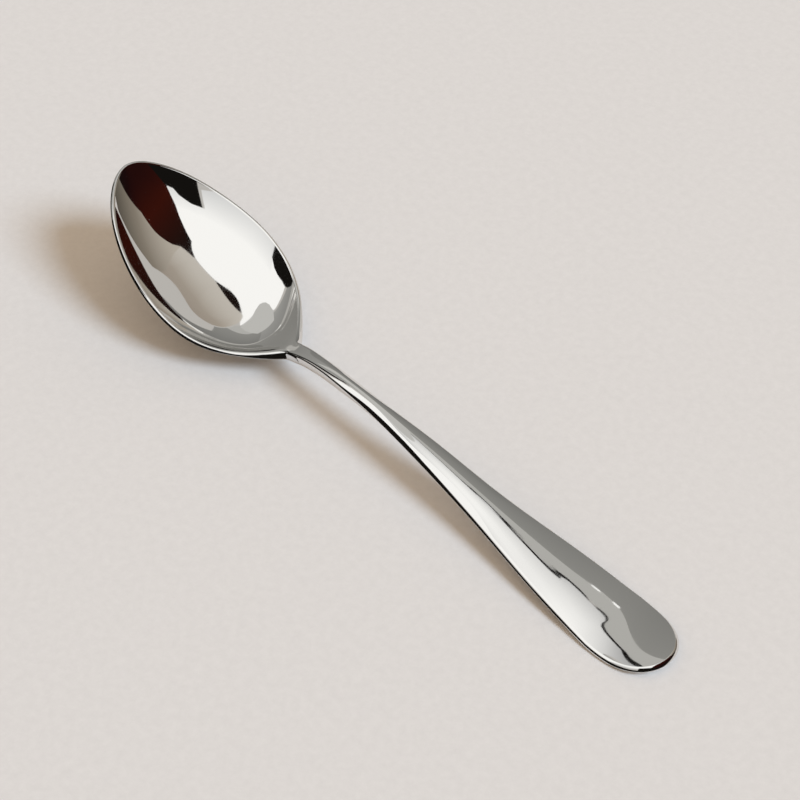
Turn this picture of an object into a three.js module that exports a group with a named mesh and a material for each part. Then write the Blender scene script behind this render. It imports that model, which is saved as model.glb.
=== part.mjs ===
// Serving spoon: a pressed bowl and a forged handle, butt-welded across the neck and polished flush.
// Millimetres, +Z up, +X from the bowl's tip to the handle's end, mirror plane y = 0, resting on z = 0.
import * as THREE from 'three';

// Overall sizes
const overallLength = 205;
const rimRadius = 0.65;

// Bowl outline, on the middle of the wall: tip radius, and half-width at each quarter of its length
const bowlLength = 69.2;
const bowlTipRadius = 7.14;
const foreHalfWidth = 16.73;
const midHalfWidth = 20.45;
const aftHalfWidth = 15.98;

// Bowl hollow: depth below the rim, and how full it is along the spoon and across it
const bowlDepth = 7.64;
const lengthFullness = 2.6;
const widthFullness = 1.2;

// Height above the table of the line where the metal is widest, from tip to end
const tipHeight = 29.85;
const foreRimHeight = 20.95;
const midRimHeight = 13.6;
const aftRimHeight = 7.65;
const heelRimHeight = 6.5;
const heelHeight = 6.95;
const neckRootHeight = 8.75;
const neckHeight = 10.4;
const archHeight = 11.3;
const stemHeight = 10.55;
const shoulderHeight = 9.2;
const bendHeight = 6.5;
const slopeHeight = 3.85;
const landingHeight = 1.7;
const restHeight = 0.61;
const endHeight = 1.9;

// Half-width of the top face, from the neck to the widest part of the handle
const neckRootHalfWidth = 1.6;
const neckHalfWidth = 1.08;
const waistHalfWidth = 0.92;
const stemHalfWidth = 1.37;
const shoulderHalfWidth = 3.0;
const bendHalfWidth = 5.0;
const slopeHalfWidth = 7.75;
const endHalfWidth = 9.65;

// Flank at the neck, stem and end: reach beyond the top face, height above and depth below the widest line
const neckReach = 1.35;
const stemReach = 1.1;
const endReach = 0.9;
const neckRise = 1.4;
const stemRise = 1.45;
const endRise = 0.97;
const neckDrop = 2.3;
const stemDrop = 0.4;
const endDrop = 0.35;

// Crown of the handle's top and swell of its underside
const stemCrown = 0.5;
const handleCrown = 1.0;
const endCrown = 0.7;
const underSwell = 0.25;

// Where the bowl and the handle meet, and over what length the bowl's hollow runs out
const neckStub = 6;
const hollowRunOut = 6;

// How pointed the bowl's heel is, and how square the handle's end and the metal's lower edge are
const heelPower = 2.4;
const endPower = 3.0;
const lowerEdgePower = 4;

// Number of facets
const acrossCount = 20;
const roundCount = 8;

const edgeLength = overallLength - rimRadius - endReach;
const handleReach = edgeLength - bowlLength;
const weldStation = bowlLength + neckStub;
const alongBowl = (part) => part * bowlLength;
const alongHandle = (part) => bowlLength + part * handleReach;

// Places along the spoon that several shapes share
const heelPlace = alongBowl(0.95);
const neckPlace = alongHandle(0.05);
const stemPlace = alongHandle(0.3);
const widestPlace = alongHandle(0.873);

const clamp01 = (t) => Math.min(1, Math.max(0, t));

function ramp(s, from, to) {
  const t = clamp01((s - from) / (to - from));
  return t * t * (3 - 2 * t);
}

// Smooth curve through a few stations, straight at both ends
function curveThrough(stations) {
  const n = stations.length;
  const gap = (i) => stations[i + 1][0] - stations[i][0];
  const rise = (i) => (stations[i + 1][1] - stations[i][1]) / gap(i);
  const bend = new Array(n).fill(0);
  const pivot = new Array(n).fill(1);
  for (let i = 1; i < n - 1; i += 1) {
    const carry = i > 1 ? gap(i - 1) / pivot[i - 1] : 0;
    pivot[i] = 2 * (gap(i - 1) + gap(i)) - carry * gap(i - 1);
    bend[i] = 6 * (rise(i) - rise(i - 1)) - carry * bend[i - 1];
  }
  for (let i = n - 2; i > 0; i -= 1) {
    bend[i] = (bend[i] - gap(i) * bend[i + 1]) / pivot[i];
  }
  return (s) => {
    let i = 0;
    while (i < n - 2 && s > stations[i + 1][0]) i += 1;
    const a = stations[i + 1][0] - s;
    const b = s - stations[i][0];
    const h = gap(i);
    const straight = (stations[i][1] * a + stations[i + 1][1] * b) / h;
    return straight + (bend[i] * a * (a * a - h * h) + bend[i + 1] * b * (b * b - h * h)) / (6 * h);
  };
}

const edgeHeight = curveThrough([
  [alongBowl(0), tipHeight],
  [alongBowl(0.26), foreRimHeight],
  [alongBowl(0.523), midRimHeight],
  [alongBowl(0.75), aftRimHeight],
  [alongBowl(0.88), heelRimHeight],
  [heelPlace, heelHeight],
  [alongHandle(0.012), neckRootHeight],
  [alongHandle(0.063), neckHeight],
  [alongHandle(0.16), archHeight],
  [alongHandle(0.285), stemHeight],
  [alongHandle(0.39), shoulderHeight],
  [alongHandle(0.525), bendHeight],
  [alongHandle(0.675), slopeHeight],
  [alongHandle(0.81), landingHeight],
  [alongHandle(0.9), restHeight],
  [alongHandle(1), endHeight],
]);

const barHalfWidth = curveThrough([
  [bowlLength, neckRootHalfWidth],
  [alongHandle(0.048), neckHalfWidth],
  [alongHandle(0.137), waistHalfWidth],
  [alongHandle(0.228), stemHalfWidth],
  [alongHandle(0.39), shoulderHalfWidth],
  [alongHandle(0.56), bendHalfWidth],
  [alongHandle(0.72), slopeHalfWidth],
  [widestPlace, endHalfWidth],
]);

// Egg outline, squared: round at the tip, drawn out to a point at the heel
const pointedOval = (u) => Math.max(0, u) * Math.max(0, 1 - u) ** heelPower;
const tipFullness = 2 * bowlLength * bowlTipRadius;
const foreFullness = foreHalfWidth ** 2 / pointedOval(0.25);
const midFullness = midHalfWidth ** 2 / pointedOval(0.5);
const aftFullness = aftHalfWidth ** 2 / pointedOval(0.75);
const fullnessStep = foreFullness - tipFullness;
const fullnessBend = midFullness - 2 * foreFullness + tipFullness;
const fullnessTwist = aftFullness - 3 * midFullness + 3 * foreFullness - tipFullness;

function eggSquared(s) {
  const u = s / bowlLength;
  const t = 4 * u;
  const bend = (t * (t - 1) * fullnessBend) / 2;
  const twist = (t * (t - 1) * (t - 2) * fullnessTwist) / 6;
  return pointedOval(u) * (tipFullness + t * fullnessStep + bend + twist);
}

// The handle's end closes in a rounded square
function closing(s) {
  return 1 - clamp01((s - widestPlace) / (edgeLength - widestPlace)) ** endPower;
}

// Neck and handle outline, squared
function barSquared(s) {
  const inBowl = ramp(s, alongBowl(0.6), heelPlace);
  const width = barHalfWidth(Math.min(widestPlace, Math.max(bowlLength, s))) * inBowl;
  return width * width * closing(s);
}

// Whole outline, squared: the bowl runs into the neck through a fillet
function outlineSquared(s) {
  return eggSquared(s) + barSquared(s);
}

function widestBowl() {
  let widest = 0;
  for (let u = 0; u <= 1; u += 0.01) widest = Math.max(widest, eggSquared(alongBowl(u)));
  return widest;
}
const bowlWidestSquared = widestBowl();

// Middle of the metal: the widest line, sunk into the bowl's hollow
function middle(s, y) {
  const hollow = 1 - ramp(s, bowlLength - hollowRunOut, bowlLength + hollowRunOut);
  const wide = Math.max(outlineSquared(s), 1e-6);
  const along = 1 - Math.max(0, 1 - wide / bowlWidestSquared) ** lengthFullness;
  const across = 1 - Math.min(2, (y * y) / wide) ** widthFullness;
  return edgeHeight(s) - hollow * bowlDepth * along * across;
}

// One size of the edge, from the bowl's round rim through neck and stem to the handle's end
function edgeSize(s, atNeck, atStem, atEnd) {
  const toNeck = (atNeck - rimRadius) * ramp(s, alongBowl(0.8), neckPlace);
  const toStem = (atStem - atNeck) * ramp(s, alongHandle(0.12), stemPlace);
  const toEnd = (atEnd - atStem) * ramp(s, stemPlace, alongHandle(0.7));
  return rimRadius + toNeck + toStem + toEnd;
}

function crown(s) {
  const onStem = stemCrown * ramp(s, alongHandle(0.02), alongHandle(0.26));
  const onHandle = (handleCrown - stemCrown) * ramp(s, stemPlace, alongHandle(0.55));
  const atEnd = (endCrown - handleCrown) * ramp(s, alongHandle(0.75), edgeLength);
  return (onStem + onHandle + atEnd) * closing(s);
}

function swell(s) {
  return underSwell * ramp(s, heelPlace, weldStation);
}

// Offsets stand square to the surface, and turn upright at the weld so that its face is flat
function leaning(s) {
  return ramp(Math.abs(s - weldStation), 0, neckStub);
}

function surfaceNormal(s, y) {
  const step = 1e-4;
  const ds = (middle(s + step, y) - middle(s - step, y)) / (2 * step);
  const dy = (middle(s, y + step) - middle(s, y - step)) / (2 * step);
  return new THREE.Vector3(-ds * leaning(s), -dy, 1).normalize();
}

// Direction that leaves the edge outwards, on the side of positive y
function outward(s, half, normal) {
  const step = 1e-4;
  const widening = (outlineSquared(s + step) - outlineSquared(s - step)) / (2 * step);
  const climb = (edgeHeight(s + step) - edgeHeight(s - step)) / (2 * step);
  const tangent = new THREE.Vector3(2 * half, widening, 2 * half * climb).normalize();
  const out = new THREE.Vector3().crossVectors(normal, tangent);
  out.x *= leaning(s);
  out.addScaledVector(normal, -out.dot(normal));
  return out.normalize();
}

// Height of the flank's upper part: round on the bowl's rim, and a steep slope on from the crown on the stem
function flankHeight(s, half, out) {
  const rise = edgeSize(s, neckRise, stemRise, endRise);
  const reach = edgeSize(s, neckReach, stemReach, endReach);
  const onStem = ramp(s, alongHandle(0.02), alongHandle(0.25));
  const crownSlope = (2 * crown(s)) / Math.max(half, 0.01);
  const fall = Math.min(0.9, (crownSlope * reach) / (rise * Math.max(onStem, 0.01)));
  const steep = 1 - fall * out - (1 - fall) * out * out;
  const round = Math.sqrt(Math.max(0, 1 - out * out));
  return rise * (round + (steep - round) * onStem);
}

// One closed ring of the spoon's skin: top, right flank, underside, left flank
function ring(s) {
  const half = Math.sqrt(Math.max(0, outlineSquared(s)));
  const reach = edgeSize(s, neckReach, stemReach, endReach);
  const rise = edgeSize(s, neckRise, stemRise, endRise);
  const drop = edgeSize(s, neckDrop, stemDrop, endDrop);
  const top = [];
  const under = [];
  for (let i = 0; i <= acrossCount; i += 1) {
    const eta = Math.sin(Math.PI * (i / acrossCount - 0.5));
    const y = half * eta;
    const bulge = 1 - eta * eta;
    const normal = surfaceNormal(s, y);
    const base = new THREE.Vector3(s, y, middle(s, y));
    top.push(base.clone().addScaledVector(normal, rise + crown(s) * bulge));
    under.push(base.clone().addScaledVector(normal, -drop - swell(s) * bulge * bulge));
  }
  const normal = surfaceNormal(s, half);
  const outDirection = outward(s, half, normal);
  const edge = new THREE.Vector3(s, half, edgeHeight(s));
  const right = [];
  for (let i = 1; i < roundCount; i += 1) {
    const turn = (Math.PI * i) / roundCount;
    const upper = i <= roundCount / 2;
    const out = Math.sin(turn) ** (upper ? 1 : 2 / lowerEdgePower);
    const up = upper ? flankHeight(s, half, out) : -drop * (-Math.cos(turn)) ** (2 / lowerEdgePower);
    const point = edge.clone().addScaledVector(normal, up);
    right.push(point.addScaledVector(outDirection, reach * out));
  }
  const left = right.map((p) => new THREE.Vector3(p.x, -p.y, p.z)).reverse();
  return [...top, ...right, ...under.reverse(), ...left];
}

// Stations bunch up where the outline closes
function openingStations(from, to, count) {
  const opening = (i) => 1 - Math.cos((Math.PI * i) / (2 * count));
  return Array.from({ length: count }, (_, i) => from + (to - from) * opening(i));
}

function evenStations(from, to, count) {
  return Array.from({ length: count }, (_, i) => from + ((to - from) * i) / count);
}

function bowlStations() {
  return [
    ...openingStations(0, alongBowl(0.3), 12),
    ...evenStations(alongBowl(0.3), alongBowl(0.8), 14),
    ...evenStations(alongBowl(0.8), weldStation, 24),
    weldStation,
  ];
}

function handleStations() {
  const closingStations = openingStations(edgeLength, widestPlace, 12).reverse();
  return [
    ...evenStations(weldStation, alongHandle(0.25), 10),
    ...evenStations(alongHandle(0.25), widestPlace, 24),
    widestPlace,
    ...closingStations,
  ];
}

// Closed skin over a run of stations, with a flat face where the weld is
function skin(stations, weldAtStart) {
  const rings = stations.map(ring);
  const size = rings[0].length;
  const places = [];
  const known = new Map();
  const indexOf = (point) => {
    const key = [point.x, point.y, point.z].map((v) => Math.round(v * 2000)).join(',');
    if (!known.has(key)) {
      known.set(key, places.length / 3);
      places.push(point.x, point.y, point.z);
    }
    return known.get(key);
  };
  const faces = [];
  const addFace = (a, b, c) => {
    if (a !== b && b !== c && c !== a) faces.push(a, b, c);
  };
  const numbered = rings.map((points) => points.map(indexOf));
  for (let k = 0; k + 1 < numbered.length; k += 1) {
    for (let i = 0; i < size; i += 1) {
      const j = (i + 1) % size;
      addFace(numbered[k][i], numbered[k + 1][i], numbered[k + 1][j]);
      addFace(numbered[k][i], numbered[k + 1][j], numbered[k][j]);
    }
  }
  const weldRing = weldAtStart ? numbered[0] : numbered[numbered.length - 1];
  const centre = indexOf(new THREE.Vector3(weldStation, 0, edgeHeight(weldStation)));
  for (let i = 0; i < size; i += 1) {
    const j = (i + 1) % size;
    if (weldAtStart) addFace(centre, weldRing[i], weldRing[j]);
    else addFace(centre, weldRing[j], weldRing[i]);
  }
  const geometry = new THREE.BufferGeometry();
  geometry.setAttribute('position', new THREE.Float32BufferAttribute(places, 3));
  geometry.setIndex(faces);
  return geometry;
}

function polishedSteel(colour) {
  return new THREE.MeshStandardMaterial({ color: colour, roughness: 0.08, metalness: 1 });
}

const bowl = new THREE.Mesh(skin(bowlStations(), false), polishedSteel(0xc9cbcd));
bowl.name = 'bowl';
const handle = new THREE.Mesh(skin(handleStations(), true), polishedSteel(0xc6c8ca));
handle.name = 'handle';

// Origin at the bottom centre: the lowest points touch the table
bowl.geometry.computeBoundingBox();
handle.geometry.computeBoundingBox();
const lowest = Math.min(bowl.geometry.boundingBox.min.z, handle.geometry.boundingBox.min.z);
for (const piece of [bowl, handle]) {
  piece.geometry.translate(rimRadius - overallLength / 2, 0, -lowest);
  piece.geometry.computeVertexNormals();
}

const spoon = new THREE.Group();
spoon.name = 'serving_spoon';
spoon.add(bowl, handle);

export default spoon;
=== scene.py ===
"""Serving spoon in mirror-polished steel on a pale sheet, under soft studio light."""
import math

import bpy
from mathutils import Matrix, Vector


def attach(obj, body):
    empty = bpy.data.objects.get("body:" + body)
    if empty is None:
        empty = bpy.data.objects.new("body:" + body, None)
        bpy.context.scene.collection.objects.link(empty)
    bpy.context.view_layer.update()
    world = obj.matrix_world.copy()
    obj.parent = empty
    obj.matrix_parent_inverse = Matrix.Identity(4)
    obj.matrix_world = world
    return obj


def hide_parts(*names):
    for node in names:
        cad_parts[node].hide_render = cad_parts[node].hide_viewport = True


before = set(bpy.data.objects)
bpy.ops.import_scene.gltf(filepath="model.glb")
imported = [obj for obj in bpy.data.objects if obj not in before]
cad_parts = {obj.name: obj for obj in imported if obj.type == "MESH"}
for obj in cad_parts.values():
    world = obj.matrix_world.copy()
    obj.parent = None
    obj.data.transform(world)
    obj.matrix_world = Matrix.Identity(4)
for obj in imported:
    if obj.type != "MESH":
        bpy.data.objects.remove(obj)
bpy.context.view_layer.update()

MM = 0.001

# Overall sizes, in millimetres as in the CAD model
OVERALL_LENGTH = 205.0
RIM_RADIUS = 0.65

# Bowl outline, on the middle of the wall: tip radius, and half-width at each quarter of its length
BOWL_LENGTH = 69.2
BOWL_TIP_RADIUS = 7.14
FORE_HALF_WIDTH = 16.73
MID_HALF_WIDTH = 20.45
AFT_HALF_WIDTH = 15.98

# Bowl hollow: depth below the rim, and how full it is along the spoon and across it
BOWL_DEPTH = 7.64
LENGTH_FULLNESS = 2.6
WIDTH_FULLNESS = 1.2

# Height above the table of the line where the metal is widest, from tip to end
TIP_HEIGHT = 29.85
FORE_RIM_HEIGHT = 20.95
MID_RIM_HEIGHT = 13.6
AFT_RIM_HEIGHT = 7.65
HEEL_RIM_HEIGHT = 6.5
HEEL_HEIGHT = 6.95
NECK_ROOT_HEIGHT = 8.75
NECK_HEIGHT = 10.4
ARCH_HEIGHT = 11.3
STEM_HEIGHT = 10.55
SHOULDER_HEIGHT = 9.2
BEND_HEIGHT = 6.5
SLOPE_HEIGHT = 3.85
LANDING_HEIGHT = 1.7
REST_HEIGHT = 0.61
END_HEIGHT = 1.9

# Half-width of the top face, from the neck to the widest part of the handle
NECK_ROOT_HALF_WIDTH = 1.6
NECK_HALF_WIDTH = 1.08
WAIST_HALF_WIDTH = 0.92
STEM_HALF_WIDTH = 1.37
SHOULDER_HALF_WIDTH = 3.0
BEND_HALF_WIDTH = 5.0
SLOPE_HALF_WIDTH = 7.75
END_HALF_WIDTH = 9.65

# Flank at the neck, stem and end: reach beyond the top face, height above and depth below the widest line
REACH = (1.35, 1.1, 0.9)
RISE = (1.4, 1.45, 0.97)
DROP = (2.3, 0.4, 0.35)

# Crown of the handle's top and swell of its underside
STEM_CROWN = 0.5
HANDLE_CROWN = 1.0
END_CROWN = 0.7
UNDER_SWELL = 0.25

# Where the bowl and the handle meet, and over what length the bowl's hollow runs out
NECK_STUB = 6.0
HOLLOW_RUN_OUT = 6.0

# How pointed the bowl's heel is, and how square the handle's end and the metal's lower edge are
HEEL_POWER = 2.4
END_POWER = 3.0
LOWER_EDGE_POWER = 4

# Number of facets: across the top, round one flank, and along each stretch from tip to end
ACROSS_COUNT = 56
ROUND_COUNT = 24
TIP_COUNT = 40
HOLLOW_COUNT = 50
HEEL_COUNT = 64
NECK_COUNT = 40
HANDLE_COUNT = 110
END_COUNT = 40

# Step over which slopes are measured, and how finely points are told apart
SLOPE_STEP = 1e-4
POINT_STEPS_PER_MM = 5000

# Limits that keep the surface sound where its outline closes and beyond its edge
LEAST_WIDTH_SQUARED = 1e-6
LEAST_WIDTH = 0.01
LEAST_SHARE = 0.01
MOST_BEYOND_EDGE = 2.0
MOST_FALL = 0.9

# Steel: colour of each piece, and roughness where it is polished and where it is scuffed
BOWL_STEEL = (0.80, 0.79, 0.775)
HANDLE_STEEL = (0.79, 0.78, 0.765)
POLISHED_ROUGHNESS = 0.02
SCUFFED_ROUGHNESS = 0.07

# Scuffs, ripple and polishing lines: scales per metre, depths in metres
SCUFF_SCALE = 160.0
SCUFF_START = 0.35
SCUFF_FULL = 0.75
RIPPLE_SCALE = 90.0
RIPPLE_STRENGTH = 0.12
RIPPLE_DEPTH = 0.00004
LINE_SCALE = (300, 6000, 6000)
LINE_STRENGTH = 0.05
LINE_DEPTH = 0.000004

# Sheet under the spoon: half its side in metres, its finish, and the two shades of its mottle
FLOOR_HALF = 4.0
PAPER_ROUGHNESS = 0.85
PAPER_SHINE = 0.1
MOTTLE_SCALE = 420.0
MOTTLE_PLACES = (0.3, 0.7)
MOTTLE_SHADES = ((0.725, 0.72, 0.725), (0.775, 0.77, 0.775))

# Camera, from the photograph's perspective
CAMERA_AZIMUTH = 46.69
CAMERA_ELEVATION = 46.98
CAMERA_DISTANCE = 0.5429
PICTURE_PIXELS = 800
FOCAL_PIXELS = 2054.9
ORIGIN_PIXEL_X = 377.4
ORIGIN_PIXEL_Y = 436.2
SENSOR_WIDTH = 36.0
CLIP_START = 0.01
CLIP_END = 50

# Light from all round: its colour on the table, and the grey that polished metal shows
SKY_LIGHT = (0.58, 0.46, 0.34)
SKY_SEEN = (0.58, 0.56, 0.53)

# Key lamp: direction and spread in degrees, strength and colour
KEY_AZIMUTH = 112.6
KEY_ELEVATION = 43.0
KEY_SPREAD = 24
KEY_STRENGTH = 2.4
KEY_COLOUR = (0.72, 0.86, 1.0)

# Studio cards stand this far off, in metres
CARD_DISTANCE = 2.5

# Shades of the studio cards, each from foot to head
BLACK = (0.008, 0.007, 0.006)
WHITE = (1.15, 1.15, 1.13)
CEILING_FRONT_SHADES = [(0.62, 0.63, 0.64), WHITE]
CEILING_BACK_SHADES = [(0.50, 0.50, 0.50), WHITE]
PALE_WALL_SHADES = [(0.52, 0.515, 0.49)]
WARM_WALL_SHADES = [(0.10, 0.088, 0.07), (0.27, 0.235, 0.19), (0.54, 0.49, 0.42)]
WARM_EDGE_SHADES = [(0.36, 0.31, 0.26), (0.42, 0.37, 0.31), (0.64, 0.60, 0.54)]
GREY_WALL_SHADES = [(0.17, 0.168, 0.16), (0.31, 0.308, 0.29)]
SIDE_WALL_SHADES = [(0.24, 0.238, 0.225), (0.42, 0.418, 0.40)]
TALL_FLAG_SHADES = [BLACK, (0.012, 0.004, 0.004), (0.042, 0.007, 0.004), BLACK]
HEEL_CARD_SHADES = [(0.60, 0.595, 0.57)]

# Elevations of the feet of the walls, the flags and the pale wall, in degrees
WALL_FOOT = -2
FLAG_FOOT = 4
PALE_FOOT = 51

# Borders that neighbouring cards share, as azimuths and elevations in degrees
FLAG_TOP = [
    (72, 40), (79, 55), (92, 64), (106, 70), (125, 73.5), (145, 75), (158, 72.8), (167, 70.6), (174, 68.6),
]
CAMERA_FLAG_TOP = [(48, 50), (60, 45), (63, 40), (70, 39)]
CEILING_FRONT = [(60, 58), (34, 60), (10, 60), (350, 58), (350, 22)]
CEILING_BACK = [(300, 60), (300, 80), (270, 80), (240, 80), (210, 80), (192, 79), (192, 62.2)]
CEILING_EDGE = [
    (195, 63), (197, 62.2), (200.5, 62), (203, 63.2), (205, 65.4), (208, 66.4), (213, 66), (217.5, 64.8),
    (225.5, 61.4), (229.7, 58.8), (238, 58),
]
SIDE_TOP = [(240, 66), (255, 67.5), (272, 67.5), (286, 65.5)]
WARM_FRONT = [(148, 19), (146, 25), (143, 36), (153, 49), (161, 61), (164, 65)]
WARM_BACK = [(164, 65), (167, 63), (171, 59.5), (176, 54), (180, 48), (184, 38), (186, 30)]
WARM_TOP = [(174, 67.8), (170, 66.9)]

# Half the thickness of the ceiling's black edge, in degrees
EDGE_HALF = 0.7

# Flag by the bowl's rim: outline in degrees as seen from a place in the bowl, distance from it in metres
RIM_FLAG = [
    (311, 22), (318, 32), (324, 38), (332, 43), (343, 49), (349, 50.5), (352, 49), (350, 43), (345, 30),
    (335, 15), (312, 10),
]
RIM_FLAG_DISTANCE = 0.11
RIM_FLAG_SEEN_FROM = (-0.060, 0.018, 0.010)

# Low flags along the handle and round the bowl: points on the table and heights there, in millimetres
HANDLE_FLAG = [
    (118, -14, 8), (105, -30, 9), (80, -38, 9), (50, -34, 9), (22, -30, 15), (-2, -28, 25), (-30, -34, 25),
    (-55, -46, 24), (-80, -52, 24),
]
BOWL_FLAG = [
    (-32, -6.5, 11), (-35, -9.4, 11.5), (-38, -12.4, 12), (-41, -15.4, 12), (-45.7, -18.3, 13),
    (-55, -23, 15), (-70, -28, 20), (-92, -32, 27), (-108, -20, 32), (-112, -8, 33),
]

# Small light high behind the handle, set edge-on to the bowl: its middle and half sides, in millimetres
SMALL_LIGHT = (34, 149, 200)
SMALL_LIGHT_ALONG = (-2.2, -2.9, -3.4)
SMALL_LIGHT_ACROSS = (-0.3, 2.4, -1.8)

# Grey card above the bowl's heel: outline and height, in millimetres
HEEL_CARD = [
    (-58, 10), (-57.5, 30), (-60, 45), (-64, 60), (-70, 90), (-78, 115), (-200, 115), (-220, -20),
    (-150, -48), (-100, -42), (-78, -30), (-66, -14), (-60, 0),
]
HEEL_CARD_HEIGHT = 220

EDGE_LENGTH = OVERALL_LENGTH - RIM_RADIUS - REACH[2]
HANDLE_REACH = EDGE_LENGTH - BOWL_LENGTH
WELD_STATION = BOWL_LENGTH + NECK_STUB


def along_bowl(part):
    return part * BOWL_LENGTH


def along_handle(part):
    return BOWL_LENGTH + part * HANDLE_REACH


# Places along the spoon that several shapes share
TIP_PLACE = along_bowl(0.3)
AFT_PLACE = along_bowl(0.8)
HEEL_PLACE = along_bowl(0.95)
CROWN_PLACE = along_handle(0.02)
NECK_PLACE = along_handle(0.05)
FLANK_PLACE = along_handle(0.25)
STEM_PLACE = along_handle(0.3)
WIDEST_PLACE = along_handle(0.873)

# Stretches along the spoon over which a size changes
BAR_IN_BOWL = (along_bowl(0.6), HEEL_PLACE)
HOLLOW_ENDS = (BOWL_LENGTH - HOLLOW_RUN_OUT, BOWL_LENGTH + HOLLOW_RUN_OUT)
RIM_TO_NECK = (AFT_PLACE, NECK_PLACE)
NECK_TO_STEM = (along_handle(0.12), STEM_PLACE)
STEM_TO_END = (STEM_PLACE, along_handle(0.7))
CROWN_STARTS = (CROWN_PLACE, along_handle(0.26))
CROWN_GROWS = (STEM_PLACE, along_handle(0.55))
CROWN_EASES = (along_handle(0.75), EDGE_LENGTH)
FLANK_STEEPENS = (CROWN_PLACE, FLANK_PLACE)
SWELL_STARTS = (HEEL_PLACE, WELD_STATION)


def clamp01(t):
    return min(1.0, max(0.0, t))


def ramp(s, start, stop):
    t = clamp01((s - start) / (stop - start))
    return t * t * (3 - 2 * t)


def curve_through(stations):
    """Smooth curve through a few stations, straight at both ends."""
    n = len(stations)
    gap = [stations[i + 1][0] - stations[i][0] for i in range(n - 1)]
    rise = [(stations[i + 1][1] - stations[i][1]) / gap[i] for i in range(n - 1)]
    bend = [0.0] * n
    pivot = [1.0] * n
    for i in range(1, n - 1):
        carry = gap[i - 1] / pivot[i - 1] if i > 1 else 0.0
        pivot[i] = 2 * (gap[i - 1] + gap[i]) - carry * gap[i - 1]
        bend[i] = 6 * (rise[i] - rise[i - 1]) - carry * bend[i - 1]
    for i in range(n - 2, 0, -1):
        bend[i] = (bend[i] - gap[i] * bend[i + 1]) / pivot[i]

    def curve(s):
        i = 0
        while i < n - 2 and s > stations[i + 1][0]:
            i += 1
        a = stations[i + 1][0] - s
        b = s - stations[i][0]
        h = gap[i]
        straight = (stations[i][1] * a + stations[i + 1][1] * b) / h
        return straight + (bend[i] * a * (a * a - h * h) + bend[i + 1] * b * (b * b - h * h)) / (6 * h)

    return curve


edge_height = curve_through([
    (along_bowl(0), TIP_HEIGHT),
    (along_bowl(0.26), FORE_RIM_HEIGHT),
    (along_bowl(0.523), MID_RIM_HEIGHT),
    (along_bowl(0.75), AFT_RIM_HEIGHT),
    (along_bowl(0.88), HEEL_RIM_HEIGHT),
    (HEEL_PLACE, HEEL_HEIGHT),
    (along_handle(0.012), NECK_ROOT_HEIGHT),
    (along_handle(0.063), NECK_HEIGHT),
    (along_handle(0.16), ARCH_HEIGHT),
    (along_handle(0.285), STEM_HEIGHT),
    (along_handle(0.39), SHOULDER_HEIGHT),
    (along_handle(0.525), BEND_HEIGHT),
    (along_handle(0.675), SLOPE_HEIGHT),
    (along_handle(0.81), LANDING_HEIGHT),
    (along_handle(0.9), REST_HEIGHT),
    (along_handle(1), END_HEIGHT),
])

bar_half_width = curve_through([
    (BOWL_LENGTH, NECK_ROOT_HALF_WIDTH),
    (along_handle(0.048), NECK_HALF_WIDTH),
    (along_handle(0.137), WAIST_HALF_WIDTH),
    (along_handle(0.228), STEM_HALF_WIDTH),
    (along_handle(0.39), SHOULDER_HALF_WIDTH),
    (along_handle(0.56), BEND_HALF_WIDTH),
    (along_handle(0.72), SLOPE_HALF_WIDTH),
    (WIDEST_PLACE, END_HALF_WIDTH),
])


def pointed_oval(u):
    """Round at the tip, drawn out to a point at the heel."""
    return max(0.0, u) * max(0.0, 1 - u) ** HEEL_POWER


# How much fuller than a pointed oval the bowl is at each quarter of its length, and how that changes
TIP_FULLNESS = 2 * BOWL_LENGTH * BOWL_TIP_RADIUS
FORE_FULLNESS = FORE_HALF_WIDTH ** 2 / pointed_oval(0.25)
MID_FULLNESS = MID_HALF_WIDTH ** 2 / pointed_oval(0.5)
AFT_FULLNESS = AFT_HALF_WIDTH ** 2 / pointed_oval(0.75)
FULLNESS_STEP = FORE_FULLNESS - TIP_FULLNESS
FULLNESS_BEND = MID_FULLNESS - 2 * FORE_FULLNESS + TIP_FULLNESS
FULLNESS_TWIST = AFT_FULLNESS - 3 * MID_FULLNESS + 3 * FORE_FULLNESS - TIP_FULLNESS


def egg_squared(s):
    """Bowl outline as half-width squared."""
    u = s / BOWL_LENGTH
    t = 4 * u
    bend = t * (t - 1) * FULLNESS_BEND / 2
    twist = t * (t - 1) * (t - 2) * FULLNESS_TWIST / 6
    return pointed_oval(u) * (TIP_FULLNESS + t * FULLNESS_STEP + bend + twist)


BOWL_WIDEST_SQUARED = max(egg_squared(along_bowl(i / 100)) for i in range(101))


def closing(s):
    """The handle's end closes in a rounded square."""
    return 1 - clamp01((s - WIDEST_PLACE) / (EDGE_LENGTH - WIDEST_PLACE)) ** END_POWER


def bar_squared(s):
    """Neck and handle outline, squared."""
    width = bar_half_width(min(WIDEST_PLACE, max(BOWL_LENGTH, s))) * ramp(s, *BAR_IN_BOWL)
    return width * width * closing(s)


def outline_squared(s):
    """Whole outline, squared: the bowl runs into the neck through a fillet."""
    return egg_squared(s) + bar_squared(s)


def middle(s, y):
    """Middle of the metal: the widest line, sunk into the bowl's hollow."""
    hollow = 1 - ramp(s, *HOLLOW_ENDS)
    wide = max(outline_squared(s), LEAST_WIDTH_SQUARED)
    along = 1 - max(0.0, 1 - wide / BOWL_WIDEST_SQUARED) ** LENGTH_FULLNESS
    across = 1 - min(MOST_BEYOND_EDGE, y * y / wide) ** WIDTH_FULLNESS
    return edge_height(s) - hollow * BOWL_DEPTH * along * across


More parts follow.
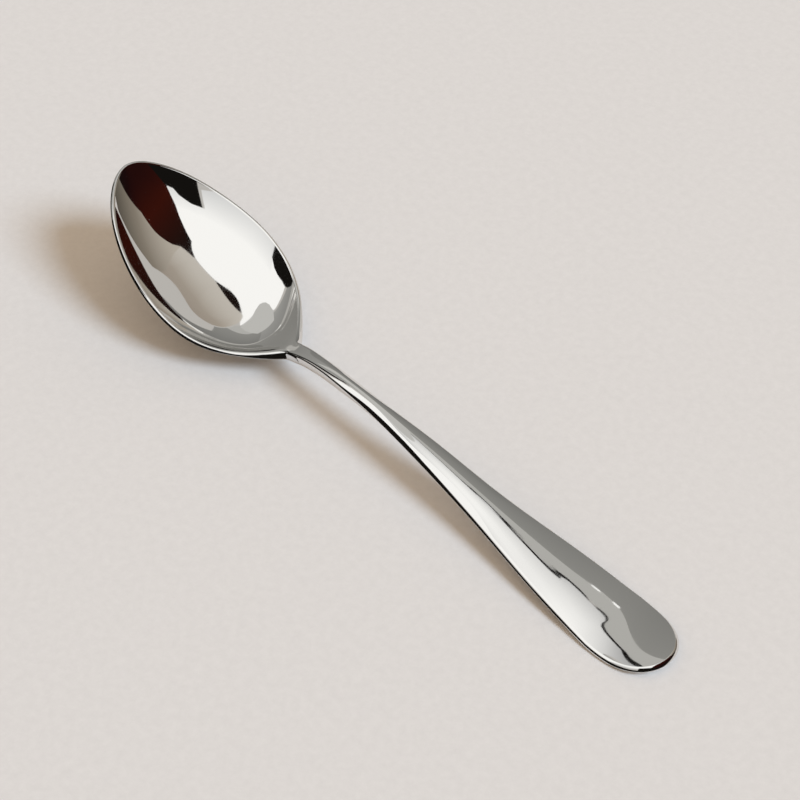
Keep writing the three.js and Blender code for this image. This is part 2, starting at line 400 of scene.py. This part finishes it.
def edge_size(s, sizes):
    """One size of the edge, from the bowl's round rim through neck and stem to the handle's end."""
    at_neck, at_stem, at_end = sizes
    to_neck = (at_neck - RIM_RADIUS) * ramp(s, *RIM_TO_NECK)
    to_stem = (at_stem - at_neck) * ramp(s, *NECK_TO_STEM)
    to_end = (at_end - at_stem) * ramp(s, *STEM_TO_END)
    return RIM_RADIUS + to_neck + to_stem + to_end


def crown(s):
    on_stem = STEM_CROWN * ramp(s, *CROWN_STARTS)
    on_handle = (HANDLE_CROWN - STEM_CROWN) * ramp(s, *CROWN_GROWS)
    at_end = (END_CROWN - HANDLE_CROWN) * ramp(s, *CROWN_EASES)
    return (on_stem + on_handle + at_end) * closing(s)


def swell(s):
    return UNDER_SWELL * ramp(s, *SWELL_STARTS)


def leaning(s):
    """Offsets stand square to the surface, and turn upright at the weld so that its face is flat."""
    return ramp(abs(s - WELD_STATION), 0, NECK_STUB)


def surface_normal(s, y):
    step = SLOPE_STEP
    ds = (middle(s + step, y) - middle(s - step, y)) / (2 * step)
    dy = (middle(s, y + step) - middle(s, y - step)) / (2 * step)
    return Vector((-ds * leaning(s), -dy, 1)).normalized()


def outward(s, half, normal):
    """Direction that leaves the edge outwards, on the side of positive y."""
    step = SLOPE_STEP
    widening = (outline_squared(s + step) - outline_squared(s - step)) / (2 * step)
    climb = (edge_height(s + step) - edge_height(s - step)) / (2 * step)
    tangent = Vector((2 * half, widening, 2 * half * climb)).normalized()
    out = normal.cross(tangent)
    out.x *= leaning(s)
    out -= normal * out.dot(normal)
    return out.normalized()


def flank_height(s, half, out):
    """Height of the flank's upper part: round on the bowl's rim, sloping on from the crown on the stem."""
    rise = edge_size(s, RISE)
    on_stem = ramp(s, *FLANK_STEEPENS)
    crown_slope = 2 * crown(s) / max(half, LEAST_WIDTH)
    fall = min(MOST_FALL, crown_slope * edge_size(s, REACH) / (rise * max(on_stem, LEAST_SHARE)))
    steep = 1 - fall * out - (1 - fall) * out * out
    rounded = math.sqrt(max(0.0, 1 - out * out))
    return rise * (rounded + (steep - rounded) * on_stem)


def top_and_under(s, half):
    """Points across the top and the underside at one station, from left to right."""
    rise = edge_size(s, RISE)
    drop = edge_size(s, DROP)
    top = []
    under = []
    for i in range(ACROSS_COUNT + 1):
        eta = math.sin(math.pi * (i / ACROSS_COUNT - 0.5))
        y = half * eta
        bulge = 1 - eta * eta
        normal = surface_normal(s, y)
        base = Vector((s, y, middle(s, y)))
        top.append(base + normal * (rise + crown(s) * bulge))
        under.append(base - normal * (drop + swell(s) * bulge * bulge))
    return top, under


def right_flank(s, half):
    """Points round the right flank at one station, from the top down."""
    reach = edge_size(s, REACH)
    drop = edge_size(s, DROP)
    normal = surface_normal(s, half)
    out_direction = outward(s, half, normal)
    edge = Vector((s, half, edge_height(s)))
    points = []
    for i in range(1, ROUND_COUNT):
        turn = math.pi * i / ROUND_COUNT
        upper = i <= ROUND_COUNT / 2
        out = math.sin(turn) ** (1 if upper else 2 / LOWER_EDGE_POWER)
        up = flank_height(s, half, out) if upper else -drop * (-math.cos(turn)) ** (2 / LOWER_EDGE_POWER)
        points.append(edge + normal * up + out_direction * (reach * out))
    return points


def ring(s):
    """One closed ring of the spoon's skin: top, right flank, underside, left flank."""
    half = math.sqrt(max(0.0, outline_squared(s)))
    top, under = top_and_under(s, half)
    right = right_flank(s, half)
    left = [Vector((p.x, -p.y, p.z)) for p in reversed(right)]
    return top + right + under[::-1] + left


def opening_stations(start, stop, count):
    """Stations bunch up where the outline closes."""
    return [start + (stop - start) * (1 - math.cos(math.pi * i / (2 * count))) for i in range(count)]


def even_stations(start, stop, count):
    return [start + (stop - start) * i / count for i in range(count)]


def bowl_stations():
    stations = opening_stations(0, TIP_PLACE, TIP_COUNT)
    stations += even_stations(TIP_PLACE, AFT_PLACE, HOLLOW_COUNT)
    stations += even_stations(AFT_PLACE, WELD_STATION, HEEL_COUNT)
    return stations + [WELD_STATION]


def handle_stations():
    closing_stations = opening_stations(EDGE_LENGTH, WIDEST_PLACE, END_COUNT)[::-1]
    stations = even_stations(WELD_STATION, FLANK_PLACE, NECK_COUNT)
    stations += even_stations(FLANK_PLACE, WIDEST_PLACE, HANDLE_COUNT)
    return stations + [WIDEST_PLACE] + closing_stations


def place(point, lift):
    """A point of the skin in the shared frame, in metres."""
    return Vector((point.x + RIM_RADIUS - OVERALL_LENGTH / 2, point.y, point.z + lift)) * MM


def skin_points(stations, lift):
    """Places of the skin's points with none twice, and each station's ring as numbers of points."""
    places = []
    known = {}

    def index_of(point):
        key = tuple(round(v * POINT_STEPS_PER_MM) for v in point)
        if key not in known:
            known[key] = len(places)
            places.append(place(point, lift))
        return known[key]

    rings = [[index_of(p) for p in ring(s)] for s in stations]
    return places, rings


def skin_faces(rings):
    """Faces between neighbouring rings, but for those that close to a line or a point."""
    size = len(rings[0])
    faces = []
    for here, there in zip(rings, rings[1:]):
        for i in range(size):
            j = (i + 1) % size
            corners = list(dict.fromkeys((here[i], there[i], there[j], here[j])))
            if len(corners) > 2:
                faces.append(corners)
    return faces


def skin(name, stations, weld_at_start, lift):
    """Closed smooth skin over a run of stations, with a flat face where the weld is."""
    places, rings = skin_points(stations, lift)
    weld_ring = rings[0] if weld_at_start else rings[-1][::-1]
    mesh = bpy.data.meshes.new(name)
    mesh.from_pydata(places, [], skin_faces(rings) + [weld_ring])
    mesh.validate()
    for face in mesh.polygons:
        face.use_smooth = True
    weld_face = mesh.polygons[-1]
    weld_face.use_smooth = False
    weld_edges = set(weld_face.edge_keys)
    for edge in mesh.edges:
        edge.use_edge_sharp = edge.key in weld_edges
    mesh.update()
    piece = bpy.data.objects.new(name, mesh)
    bpy.context.scene.collection.objects.link(piece)
    return piece


def node(tree, kind, **inputs):
    """A shader node with some of its input values set."""
    made = tree.nodes.new(kind)
    for key, value in inputs.items():
        made.inputs[key.replace("_", " ")].default_value = value
    return made


def add_scuffs(tree, where, shader):
    """A few faint patches where the polish is a little duller."""
    scuffs = node(tree, "ShaderNodeTexNoise", Scale=SCUFF_SCALE, Detail=6.0, Roughness=0.65)
    gloss = node(tree, "ShaderNodeMapRange", From_Min=SCUFF_START, From_Max=SCUFF_FULL,
                 To_Min=POLISHED_ROUGHNESS, To_Max=SCUFFED_ROUGHNESS)
    tree.links.new(where.outputs["Object"], scuffs.inputs["Vector"])
    tree.links.new(scuffs.outputs["Fac"], gloss.inputs["Value"])
    tree.links.new(gloss.outputs["Result"], shader.inputs["Roughness"])


def add_ripple_and_lines(tree, where, shader):
    """A slight ripple from pressing, and fine polishing lines along the spoon."""
    ripple = node(tree, "ShaderNodeTexNoise", Scale=RIPPLE_SCALE, Detail=1.0, Roughness=0.4)
    brushed = node(tree, "ShaderNodeMapping", Scale=LINE_SCALE)
    lines = node(tree, "ShaderNodeTexNoise", Scale=1.0, Detail=3.0, Roughness=0.6)
    waves = node(tree, "ShaderNodeBump", Strength=RIPPLE_STRENGTH, Distance=RIPPLE_DEPTH)
    grain = node(tree, "ShaderNodeBump", Strength=LINE_STRENGTH, Distance=LINE_DEPTH)
    tree.links.new(where.outputs["Object"], ripple.inputs["Vector"])
    tree.links.new(where.outputs["Object"], brushed.inputs["Vector"])
    tree.links.new(brushed.outputs["Vector"], lines.inputs["Vector"])
    tree.links.new(ripple.outputs["Fac"], waves.inputs["Height"])
    tree.links.new(lines.outputs["Fac"], grain.inputs["Height"])
    tree.links.new(waves.outputs["Normal"], grain.inputs["Normal"])
    tree.links.new(grain.outputs["Normal"], shader.inputs["Normal"])


def polished_steel(name, colour):
    """Mirror-polished steel."""
    material = bpy.data.materials.new(name)
    material.use_nodes = True
    tree = material.node_tree
    shader = tree.nodes["Principled BSDF"]
    shader.inputs["Base Color"].default_value = (*colour, 1)
    shader.inputs["Metallic"].default_value = 1.0
    where = tree.nodes.new("ShaderNodeTexCoord")
    add_scuffs(tree, where, shader)
    add_ripple_and_lines(tree, where, shader)
    return material


def dress(piece, cad_node, material):
    piece.data.materials.append(material)
    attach(piece, "root")
    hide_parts(cad_node)


def make_spoon():
    lowest = min(p.z for s in (bowl_stations() + handle_stations()) for p in ring(s))
    bowl = skin("bowl_skin", bowl_stations(), False, -lowest)
    handle = skin("handle_skin", handle_stations(), True, -lowest)
    dress(bowl, "bowl", polished_steel("bowl_steel", BOWL_STEEL))
    dress(handle, "handle", polished_steel("handle_steel", HANDLE_STEEL))


def toward(azimuth, elevation):
    """Unit vector at these angles: azimuth 0 points to negative y, and 90 to positive x."""
    a = math.radians(azimuth)
    e = math.radians(elevation)
    return Vector((math.sin(a) * math.cos(e), -math.cos(a) * math.cos(e), math.sin(e)))


def make_camera():
    azimuth = math.radians(CAMERA_AZIMUTH)
    back = toward(CAMERA_AZIMUTH, CAMERA_ELEVATION)
    right = Vector((math.cos(azimuth), math.sin(azimuth), 0))
    up = back.cross(right)
    per_pixel = CAMERA_DISTANCE / FOCAL_PIXELS
    aside = (PICTURE_PIXELS / 2 - ORIGIN_PIXEL_X) * per_pixel
    above = (ORIGIN_PIXEL_Y - PICTURE_PIXELS / 2) * per_pixel
    lens = bpy.data.cameras.new("camera")
    lens.sensor_width = SENSOR_WIDTH
    lens.lens = SENSOR_WIDTH * FOCAL_PIXELS / PICTURE_PIXELS
    lens.clip_start = CLIP_START
    lens.clip_end = CLIP_END
    camera = bpy.data.objects.new("camera", lens)
    camera.location = back * CAMERA_DISTANCE + right * aside + up * above
    camera.rotation_mode = "QUATERNION"
    camera.rotation_quaternion = (-back).to_track_quat("-Z", "Y")
    bpy.context.scene.collection.objects.link(camera)
    bpy.context.scene.camera = camera


def paper():
    """White sheet with a faint mottle."""
    material = bpy.data.materials.new("paper")
    material.use_nodes = True
    tree = material.node_tree
    shader = tree.nodes["Principled BSDF"]
    shader.inputs["Roughness"].default_value = PAPER_ROUGHNESS
    shader.inputs["Specular IOR Level"].default_value = PAPER_SHINE
    where = tree.nodes.new("ShaderNodeTexCoord")
    mottle = node(tree, "ShaderNodeTexNoise", Scale=MOTTLE_SCALE, Detail=6.0, Roughness=0.7)
    tint = tree.nodes.new("ShaderNodeValToRGB")
    for stop, position, shade in zip(tint.color_ramp.elements, MOTTLE_PLACES, MOTTLE_SHADES):
        stop.position = position
        stop.color = (*shade, 1)
    tree.links.new(where.outputs["Object"], mottle.inputs["Vector"])
    tree.links.new(mottle.outputs["Fac"], tint.inputs["Fac"])
    tree.links.new(tint.outputs["Color"], shader.inputs["Base Color"])
    return material


def make_floor():
    half = FLOOR_HALF
    mesh = bpy.data.meshes.new("floor")
    corners = [(-half, -half, 0), (half, -half, 0), (half, half, 0), (-half, half, 0)]
    mesh.from_pydata(corners, [], [(0, 1, 2, 3)])
    floor = bpy.data.objects.new("floor", mesh)
    mesh.materials.append(paper())
    bpy.context.scene.collection.objects.link(floor)


def shade_by_height(tree, shades, lamp):
    where = tree.nodes.new("ShaderNodeTexCoord")
    axes = tree.nodes.new("ShaderNodeSeparateXYZ")
    blend = tree.nodes.new("ShaderNodeValToRGB")
    stops = blend.color_ramp.elements
    for i in range(1, len(shades) - 1):
        stops.new(i / (len(shades) - 1))
    for stop, shade in zip(stops, shades):
        stop.color = (*shade, 1)
    tree.links.new(where.outputs["Generated"], axes.inputs["Vector"])
    tree.links.new(axes.outputs["Z"], blend.inputs["Fac"])
    tree.links.new(blend.outputs["Color"], lamp.inputs["Color"])


def glow(name, shades):
    """Card that glows in one shade, or in several from its foot to its head."""
    material = bpy.data.materials.new(name)
    material.use_nodes = True
    tree = material.node_tree
    tree.nodes.remove(tree.nodes["Principled BSDF"])
    lamp = tree.nodes.new("ShaderNodeEmission")
    lamp.inputs["Color"].default_value = (*shades[0], 1)
    tree.links.new(lamp.outputs["Emission"], tree.nodes["Material Output"].inputs["Surface"])
    if len(shades) > 1:
        shade_by_height(tree, shades, lamp)
    return material


def hang(name, points, faces, shades):
    """A studio card. Only polished metal shows it."""
    mesh = bpy.data.meshes.new(name)
    mesh.from_pydata(points, [], faces)
    mesh.materials.append(glow(name, shades))
    card = bpy.data.objects.new(name, mesh)
    card.visible_camera = False
    card.visible_diffuse = False
    card.visible_shadow = False
    card.visible_transmission = False
    card.visible_volume_scatter = False
    bpy.context.scene.collection.objects.link(card)


def seen_at(corners, distance=CARD_DISTANCE, seen_from=(0, 0, 0)):
    """Places at the given azimuths and elevations, seen from under the spoon or from another place."""
    return [Vector(seen_from) + toward(azimuth, elevation) * distance for azimuth, elevation in corners]


def above_table(points):
    return [Vector(point) * MM for point in points]


def make_card(name, points, shades):
    hang(name, points, [tuple(range(len(points)))], shades)


def make_band(name, one_side, other_side, shades):
    """Narrow card between two rows of points."""
    count = len(one_side)
    faces = [(i, i + 1, count + i + 1, count + i) for i in range(count - 1)]
    hang(name, one_side + other_side, faces, shades)


def shifted(line, step):
    """The same line, higher or lower by a step of elevation."""
    return [(azimuth, elevation + step) for azimuth, elevation in line]


def make_ceiling():
    """White ceiling that greys towards the front and the back, where a black edge closes it."""
    far_side = [(322, 21), (320, 30), (316, 40), (310, 50), (304, 56)]
    over_warm_wall = [(186, 64), (180, 67.6)]
    lower_front = [(0, 28), (20, 30), (34, 33), (34, 50)]
    upper = shifted(CEILING_EDGE, EDGE_HALF)
    lower = shifted(CEILING_EDGE, -EDGE_HALF)
    ceiling = far_side + CEILING_BACK + over_warm_wall + FLAG_TOP[:0:-1] + CEILING_FRONT + [(338, 20)]
    front = FLAG_TOP[:2] + CEILING_FRONT + lower_front + CAMERA_FLAG_TOP
    back = [(300, 60), (297, 60.5)] + SIDE_TOP[::-1] + upper[::-1] + CEILING_BACK[:0:-1]
    pale_wall = [(188, PALE_FOOT), (188, 60), (192, 62.2)] + lower + [(240, PALE_FOOT)]
    make_card("ceiling", seen_at(ceiling), [WHITE])
    make_card("ceiling_front", seen_at(front), CEILING_FRONT_SHADES)
    make_card("ceiling_back", seen_at(back), CEILING_BACK_SHADES)
    make_band("ceiling_edge", seen_at(lower), seen_at(upper), [BLACK])
    make_card("pale_wall", seen_at(pale_wall), PALE_WALL_SHADES)


def make_walls():
    """Warm wall behind the handle, and grey walls behind the bowl and beyond its tip."""
    warm_wall = [(154, WALL_FOOT)] + WARM_FRONT + WARM_BACK[1:] + [(186, 22), (180, 12), (172, WALL_FOOT)]
    warm_edge = WARM_BACK + [(187, 40), (187, 50), (186, 58), (186, 63.8), (180, 67.4)] + WARM_TOP
    grey_wall = [
        (194, WALL_FOOT), (194, 30), (188, 40), (188, PALE_FOOT), (240, PALE_FOOT), (240, WALL_FOOT),
    ]
    side_wall = [(240, WALL_FOOT)] + SIDE_TOP + [(298, 56), (308, 44), (314, 30), (318, WALL_FOOT)]
    make_card("warm_wall", seen_at(warm_wall), WARM_WALL_SHADES)
    make_card("warm_edge", seen_at(warm_edge), WARM_EDGE_SHADES)
    make_card("grey_wall", seen_at(grey_wall), GREY_WALL_SHADES)
    make_card("side_wall", seen_at(side_wall), SIDE_WALL_SHADES)


def make_low_flag(name, line):
    """Black flag that stands on the table."""
    foot = above_table([(x, y, 0) for x, y, _ in line])
    make_band(name, foot, above_table(line), [BLACK])


def make_flags():
    """Black flags: one round the camera, a tall one to its right, one by the bowl's rim and two low ones."""
    seam = (85, FLAG_FOOT)
    tall_flag = [seam] + FLAG_TOP + WARM_TOP + WARM_FRONT[::-1] + [(154, FLAG_FOOT)]
    camera_flag = [(36, FLAG_FOOT), (36, 50)] + CAMERA_FLAG_TOP + FLAG_TOP[:1] + [seam]
    make_card("tall_flag", seen_at(tall_flag), TALL_FLAG_SHADES)
    make_card("camera_flag", seen_at(camera_flag), [BLACK])
    make_card("rim_flag", seen_at(RIM_FLAG, RIM_FLAG_DISTANCE, RIM_FLAG_SEEN_FROM), [BLACK])
    make_low_flag("handle_flag", HANDLE_FLAG)
    make_low_flag("bowl_flag", BOWL_FLAG)


def make_heel_card():
    points = above_table([(x, y, HEEL_CARD_HEIGHT) for x, y in HEEL_CARD])
    make_card("heel_card", points, HEEL_CARD_SHADES)


def make_small_light():
    spot, length, width = above_table([SMALL_LIGHT, SMALL_LIGHT_ALONG, SMALL_LIGHT_ACROSS])
    one_end = [spot - length + width, spot - length - width]
    other_end = [spot + length - width, spot + length + width]
    make_card("small_light", one_end + other_end, [WHITE])


def make_sky():
    """Warm light from all round, which polished metal shows as plain grey."""
    world = bpy.data.worlds.new("studio")
    world.use_nodes = True
    tree = world.node_tree
    warm = tree.nodes["Background"]
    warm.inputs["Color"].default_value = (*SKY_LIGHT, 1)
    plain = node(tree, "ShaderNodeBackground", Color=(*SKY_SEEN, 1))
    path = tree.nodes.new("ShaderNodeLightPath")
    seen = tree.nodes.new("ShaderNodeMath")
    clear = tree.nodes.new("ShaderNodeMath")
    mix = tree.nodes.new("ShaderNodeMixShader")
    tree.links.new(path.outputs["Is Camera Ray"], seen.inputs[0])
    tree.links.new(path.outputs["Is Glossy Ray"], seen.inputs[1])
    tree.links.new(seen.outputs["Value"], clear.inputs[0])
    tree.links.new(path.outputs["Is Transmission Ray"], clear.inputs[1])
    tree.links.new(clear.outputs["Value"], mix.inputs["Fac"])
    tree.links.new(warm.outputs["Background"], mix.inputs[1])
    tree.links.new(plain.outputs["Background"], mix.inputs[2])
    tree.links.new(mix.outputs["Shader"], tree.nodes["World Output"].inputs["Surface"])
    bpy.context.scene.world = world


def make_key():
    """Broad cool lamp, far off to the right."""
    key = bpy.data.lights.new("key", "SUN")
    key.angle = math.radians(KEY_SPREAD)
    key.energy = KEY_STRENGTH
    key.color = KEY_COLOUR
    lamp = bpy.data.objects.new("key", key)
    lamp.location = toward(KEY_AZIMUTH, KEY_ELEVATION) * CARD_DISTANCE
    lamp.rotation_mode = "QUATERNION"
    lamp.rotation_quaternion = (-lamp.location).to_track_quat("-Z", "Y")
    lamp.visible_glossy = False
    bpy.context.scene.collection.objects.link(lamp)


def make_studio():
    make_sky()
    make_key()
    make_ceiling()
    make_walls()
    make_flags()
    make_heel_card()
    make_small_light()


make_camera()
make_spoon()
make_floor()
make_studio()

bpy.context.scene.view_settings.view_transform = "Standard"
